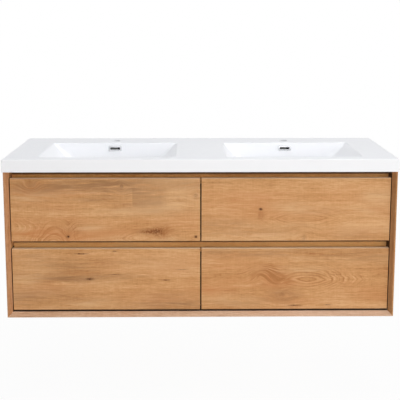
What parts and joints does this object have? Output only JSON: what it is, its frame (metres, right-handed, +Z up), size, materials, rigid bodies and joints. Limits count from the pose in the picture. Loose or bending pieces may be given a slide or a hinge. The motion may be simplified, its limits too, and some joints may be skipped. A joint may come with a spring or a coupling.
{
  "type": "floating vanity",
  "caption": "Wall-hung double vanity: a moulded white top with two angular basins on an oak cabinet with bevelled frame and full-extension drawers opened by grip gaps.",
  "frame": {"origin": "middle of the cabinet's width, on the wall plane, at the height of the upper wall screws", "axes": "+X to the right along the wall, +Y into the wall, +Z up; the drawers open towards -Y"},
  "size_m": [1.5, 0.5, 0.62],
  "materials": {
    "moulded_white": "smooth gloss",
    "oak": "satin oak with horizontal grain and knots",
    "oak_inside": "plain satin board",
    "chrome": "polished",
    "zinc_steel": "bright zinc plated sheet",
    "brass": "machined",
    "rubber": "matt black"
  },
  "bodies": {
    "cabinet": {"sink_top": "moulded_white", "basin_left": "moulded_white", "basin_right": "moulded_white", "overflow_trim_left": "chrome", "overflow_trim_right": "chrome", "side_panel_left": "oak", "side_panel_right": "oak", "bottom_panel": "oak", "center_divider": "oak_inside", "front_rail_upper": "oak", "front_rail_middle": "oak", "hanging_rail": "oak_inside", "lower_back_rail": "oak_inside", "fixing_plates": "zinc_steel", "top_brackets": "zinc_steel", "waste_body_left": "chrome", "waste_body_right": "chrome", "waste_seals": "rubber", "waste_backnuts": "brass", "runner_outer_upper_left": "zinc_steel", "runner_outer_upper_right": "zinc_steel", "runner_outer_lower_left": "zinc_steel", "runner_outer_lower_right": "zinc_steel"},
    "runner_slide_upper_left": {"runner_middle_upper_left": "zinc_steel"},
    "drawer_upper_left": {"drawer_front_upper_left": "oak", "drawer_outer_side_upper_left": "oak_inside", "drawer_inner_side_upper_left": "oak_inside", "drawer_back_upper_left": "oak_inside", "drawer_bottom_upper_left": "oak_inside", "runner_inner_upper_left": "zinc_steel", "pipe_surround_left": "oak_inside"},
    "runner_slide_upper_right": {"runner_middle_upper_right": "zinc_steel"},
    "drawer_upper_right": {"drawer_front_upper_right": "oak", "drawer_outer_side_upper_right": "oak_inside", "drawer_inner_side_upper_right": "oak_inside", "drawer_back_upper_right": "oak_inside", "drawer_bottom_upper_right": "oak_inside", "runner_inner_upper_right": "zinc_steel", "pipe_surround_right": "oak_inside"},
    "runner_slide_lower_left": {"runner_middle_lower_left": "zinc_steel"},
    "drawer_lower_left": {"drawer_front_lower_left": "oak", "drawer_outer_side_lower_left": "oak_inside", "drawer_inner_side_lower_left": "oak_inside", "drawer_back_lower_left": "oak_inside", "drawer_bottom_lower_left": "oak_inside", "runner_inner_lower_left": "zinc_steel"},
    "runner_slide_lower_right": {"runner_middle_lower_right": "zinc_steel"},
    "drawer_lower_right": {"drawer_front_lower_right": "oak", "drawer_outer_side_lower_right": "oak_inside", "drawer_inner_side_lower_right": "oak_inside", "drawer_back_lower_right": "oak_inside", "drawer_bottom_lower_right": "oak_inside", "runner_inner_lower_right": "zinc_steel"},
    "stopper_left": {"waste_stopper_left": "chrome"},
    "stopper_right": {"waste_stopper_right": "chrome"}
  },
  "joints": [
    {"name": "drawer_upper_left_pull", "type": "slide", "parent": "cabinet", "child": "drawer_upper_left", "axis": [0, -1, 0], "range_m": [0, 0.39]},
    {"name": "runner_upper_left_follow", "type": "slide", "parent": "cabinet", "child": "runner_slide_upper_left", "axis": [0, -1, 0], "range_m": [0, 0.195]},
    {"name": "drawer_upper_right_pull", "type": "slide", "parent": "cabinet", "child": "drawer_upper_right", "axis": [0, -1, 0], "range_m": [0, 0.39]},
    {"name": "runner_upper_right_follow", "type": "slide", "parent": "cabinet", "child": "runner_slide_upper_right", "axis": [0, -1, 0], "range_m": [0, 0.195]},
    {"name": "drawer_lower_left_pull", "type": "slide", "parent": "cabinet", "child": "drawer_lower_left", "axis": [0, -1, 0], "range_m": [0, 0.39]},
    {"name": "runner_lower_left_follow", "type": "slide", "parent": "cabinet", "child": "runner_slide_lower_left", "axis": [0, -1, 0], "range_m": [0, 0.195]},
    {"name": "drawer_lower_right_pull", "type": "slide", "parent": "cabinet", "child": "drawer_lower_right", "axis": [0, -1, 0], "range_m": [0, 0.39]},
    {"name": "runner_lower_right_follow", "type": "slide", "parent": "cabinet", "child": "runner_slide_lower_right", "axis": [0, -1, 0], "range_m": [0, 0.195]},
    {"name": "stopper_left_lift", "type": "slide", "parent": "cabinet", "child": "stopper_left", "axis": [0, 0, 1], "range_m": [0, 0.007]},
    {"name": "stopper_right_lift", "type": "slide", "parent": "cabinet", "child": "stopper_right", "axis": [0, 0, 1], "range_m": [0, 0.007]}
  ],
  "couplings": [
    {"joint": "runner_upper_left_follow", "follows": "drawer_upper_left_pull", "ratio": 0.5},
    {"joint": "runner_upper_right_follow", "follows": "drawer_upper_right_pull", "ratio": 0.5},
    {"joint": "runner_lower_left_follow", "follows": "drawer_lower_left_pull", "ratio": 0.5},
    {"joint": "runner_lower_right_follow", "follows": "drawer_lower_right_pull", "ratio": 0.5}
  ]
}
